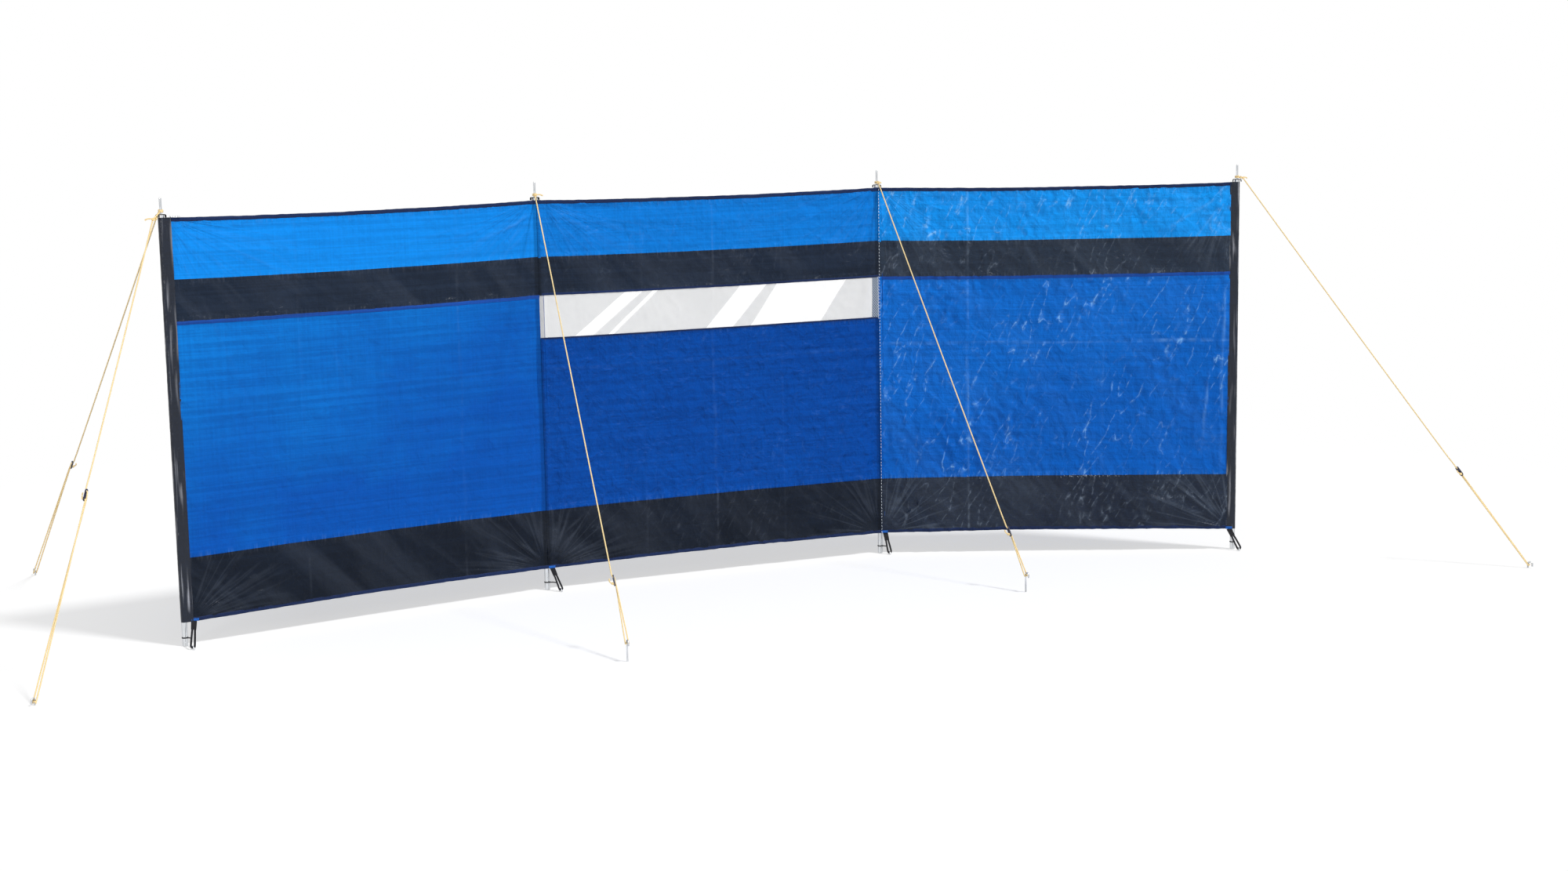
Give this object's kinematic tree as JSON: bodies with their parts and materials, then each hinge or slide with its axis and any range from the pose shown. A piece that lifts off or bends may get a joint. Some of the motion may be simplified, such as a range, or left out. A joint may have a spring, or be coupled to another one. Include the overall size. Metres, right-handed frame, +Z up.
{
  "type": "beach windbreak",
  "caption": "Beach windbreak of coated woven sheeting with a clear window, sleeved over steel poles with top spikes, held by guy lines, runners, webbing loops and pegs.",
  "frame": {"origin": "middle of the foot of the second pole from the left, at ground level", "axes": "+X along the middle bay from the second pole to the third, +Z up the poles, the front faces -Y"},
  "size_m": [5.4903, 2.778, 1.553],
  "materials": {
    "pole_steel": "bright zinc-plated steel tube, faintly streaked along its length",
    "spike_steel": "bright plated steel rod",
    "blue_sheeting": "woven polyethylene tape with a glossy coating, creased and wrinkled",
    "dark_sheeting": "woven polyethylene tape with a glossy coating, creased and wrinkled",
    "black_sheeting": "glossy puckered sheeting sewn into a sleeve",
    "hem_binding": "folded navy binding with a line of stitches",
    "clear_film": "soft clear film with a light grey cast",
    "webbing": "matt black webbing with a ribbed weave",
    "guy_cord": "braided orange-yellow cord",
    "runner_plastic": "moulded dark plastic",
    "peg_steel": "bright plated steel rod with scuffs"
  },
  "bodies": {
    "root": {"pole_1": "pole_steel", "pole_2": "pole_steel", "pole_3": "pole_steel", "pole_4": "pole_steel", "spike_1": "spike_steel", "spike_2": "spike_steel", "spike_3": "spike_steel", "spike_4": "spike_steel", "sleeve_1": "black_sheeting", "sleeve_2": "blue_sheeting", "sleeve_3": "blue_sheeting", "sleeve_4": "black_sheeting", "top_hem_1": "hem_binding", "top_hem_2": "hem_binding", "top_hem_3": "hem_binding", "upper_strip_1": "blue_sheeting", "upper_strip_2": "blue_sheeting", "upper_strip_3": "blue_sheeting", "dark_band_1": "dark_sheeting", "dark_band_2": "dark_sheeting", "dark_band_3": "dark_sheeting", "window_panel": "clear_film", "main_panel_1": "blue_sheeting", "main_panel_2": "blue_sheeting", "main_panel_3": "blue_sheeting", "skirt_1": "dark_sheeting", "skirt_2": "dark_sheeting", "skirt_3": "dark_sheeting", "bottom_hem_1": "hem_binding", "bottom_hem_2": "hem_binding", "bottom_hem_3": "hem_binding", "top_straps": "webbing", "peg_loop_1": "webbing", "peg_loop_2": "webbing", "peg_loop_3": "webbing", "peg_loop_4": "webbing", "foot_pegs": "peg_steel", "guy_1": "guy_cord", "guy_2": "guy_cord", "guy_3": "guy_cord", "guy_4": "guy_cord", "guy_5": "guy_cord", "runners": "runner_plastic", "guy_pegs": "peg_steel"}
  },
  "joints": []
}
